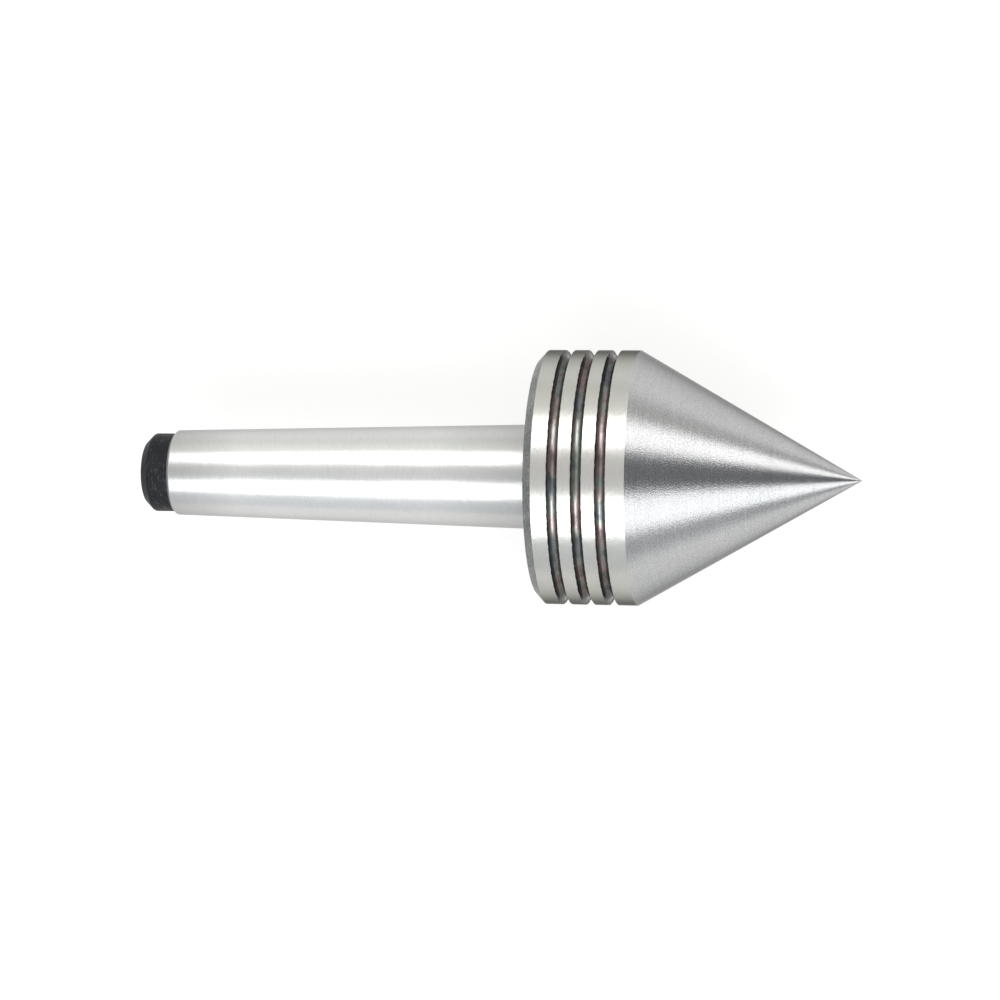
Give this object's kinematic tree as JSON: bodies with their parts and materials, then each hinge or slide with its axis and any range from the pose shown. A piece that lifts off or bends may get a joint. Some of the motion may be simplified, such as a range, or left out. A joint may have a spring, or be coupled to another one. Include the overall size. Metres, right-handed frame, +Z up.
{
  "type": "live center",
  "caption": "Revolving lathe center: a 60-degree point head with grip grooves turns on ball bearings round a self-holding tapered shank.",
  "frame": {"origin": "on the turning axis at the Morse taper gauge plane, where the taper is 17.780 mm in diameter, 6 mm behind the rear face of the head", "axes": "+X along the turning axis towards the 60-degree point; Y and Z across it, with +Z up when the center lies in a tailstock"},
  "size_m": [0.125, 0.0436, 0.0436],
  "materials": {
    "ground_steel": "cylindrically ground bright steel, with the small end of the shank left black from heat treatment",
    "bearing_steel": "hardened bearing steel, fine ground and polished",
    "pressed_steel": "cold-rolled pressed sheet steel",
    "spring_steel": "phosphated spring steel",
    "brass": "machined brass",
    "nitrile": "moulded black nitrile rubber"
  },
  "bodies": {
    "arbor": {"tapered_shank": "ground_steel", "rear_bearing_inner_ring": "bearing_steel", "journal_circlip": "spring_steel", "thrust_bearing_shaft_washer": "bearing_steel", "front_bearing_inner_ring": "bearing_steel", "stub_circlip": "spring_steel"},
    "head": {"head_cone": "ground_steel", "head_circlip": "spring_steel", "rear_bearing_outer_ring": "bearing_steel", "rear_bearing_rear_seal": "nitrile", "rear_bearing_front_seal": "nitrile", "thrust_bearing_housing_washer": "bearing_steel", "front_bearing_outer_ring": "bearing_steel", "front_bearing_rear_shield": "pressed_steel", "front_bearing_front_shield": "pressed_steel"},
    "rear_cage": {"rear_bearing_cage": "pressed_steel", "rear_bearing_ball_1": "bearing_steel", "rear_bearing_ball_2": "bearing_steel", "rear_bearing_ball_3": "bearing_steel", "rear_bearing_ball_4": "bearing_steel", "rear_bearing_ball_5": "bearing_steel", "rear_bearing_ball_6": "bearing_steel", "rear_bearing_ball_7": "bearing_steel", "rear_bearing_ball_8": "bearing_steel", "rear_bearing_ball_9": "bearing_steel"},
    "thrust_cage": {"thrust_bearing_cage": "brass", "thrust_bearing_ball_1": "bearing_steel", "thrust_bearing_ball_2": "bearing_steel", "thrust_bearing_ball_3": "bearing_steel", "thrust_bearing_ball_4": "bearing_steel", "thrust_bearing_ball_5": "bearing_steel", "thrust_bearing_ball_6": "bearing_steel", "thrust_bearing_ball_7": "bearing_steel", "thrust_bearing_ball_8": "bearing_steel", "thrust_bearing_ball_9": "bearing_steel", "thrust_bearing_ball_10": "bearing_steel"},
    "front_cage": {"front_bearing_cage": "pressed_steel", "front_bearing_ball_1": "bearing_steel", "front_bearing_ball_2": "bearing_steel", "front_bearing_ball_3": "bearing_steel", "front_bearing_ball_4": "bearing_steel", "front_bearing_ball_5": "bearing_steel", "front_bearing_ball_6": "bearing_steel", "front_bearing_ball_7": "bearing_steel"}
  },
  "joints": [
    {"name": "head_spin", "type": "hinge", "parent": "arbor", "child": "head", "pos_m": [0, 0, 0], "axis": [1, 0, 0], "continuous": true},
    {"name": "rear_cage_spin", "type": "hinge", "parent": "arbor", "child": "rear_cage", "pos_m": [0, 0, 0], "axis": [1, 0, 0], "continuous": true},
    {"name": "thrust_cage_spin", "type": "hinge", "parent": "arbor", "child": "thrust_cage", "pos_m": [0, 0, 0], "axis": [1, 0, 0], "continuous": true},
    {"name": "front_cage_spin", "type": "hinge", "parent": "arbor", "child": "front_cage", "pos_m": [0, 0, 0], "axis": [1, 0, 0], "continuous": true}
  ],
  "couplings": [
    {"joint": "rear_cage_spin", "follows": "head_spin", "ratio": 0.6013},
    {"joint": "thrust_cage_spin", "follows": "head_spin", "ratio": 0.5},
    {"joint": "front_cage_spin", "follows": "head_spin", "ratio": 0.6323}
  ]
}
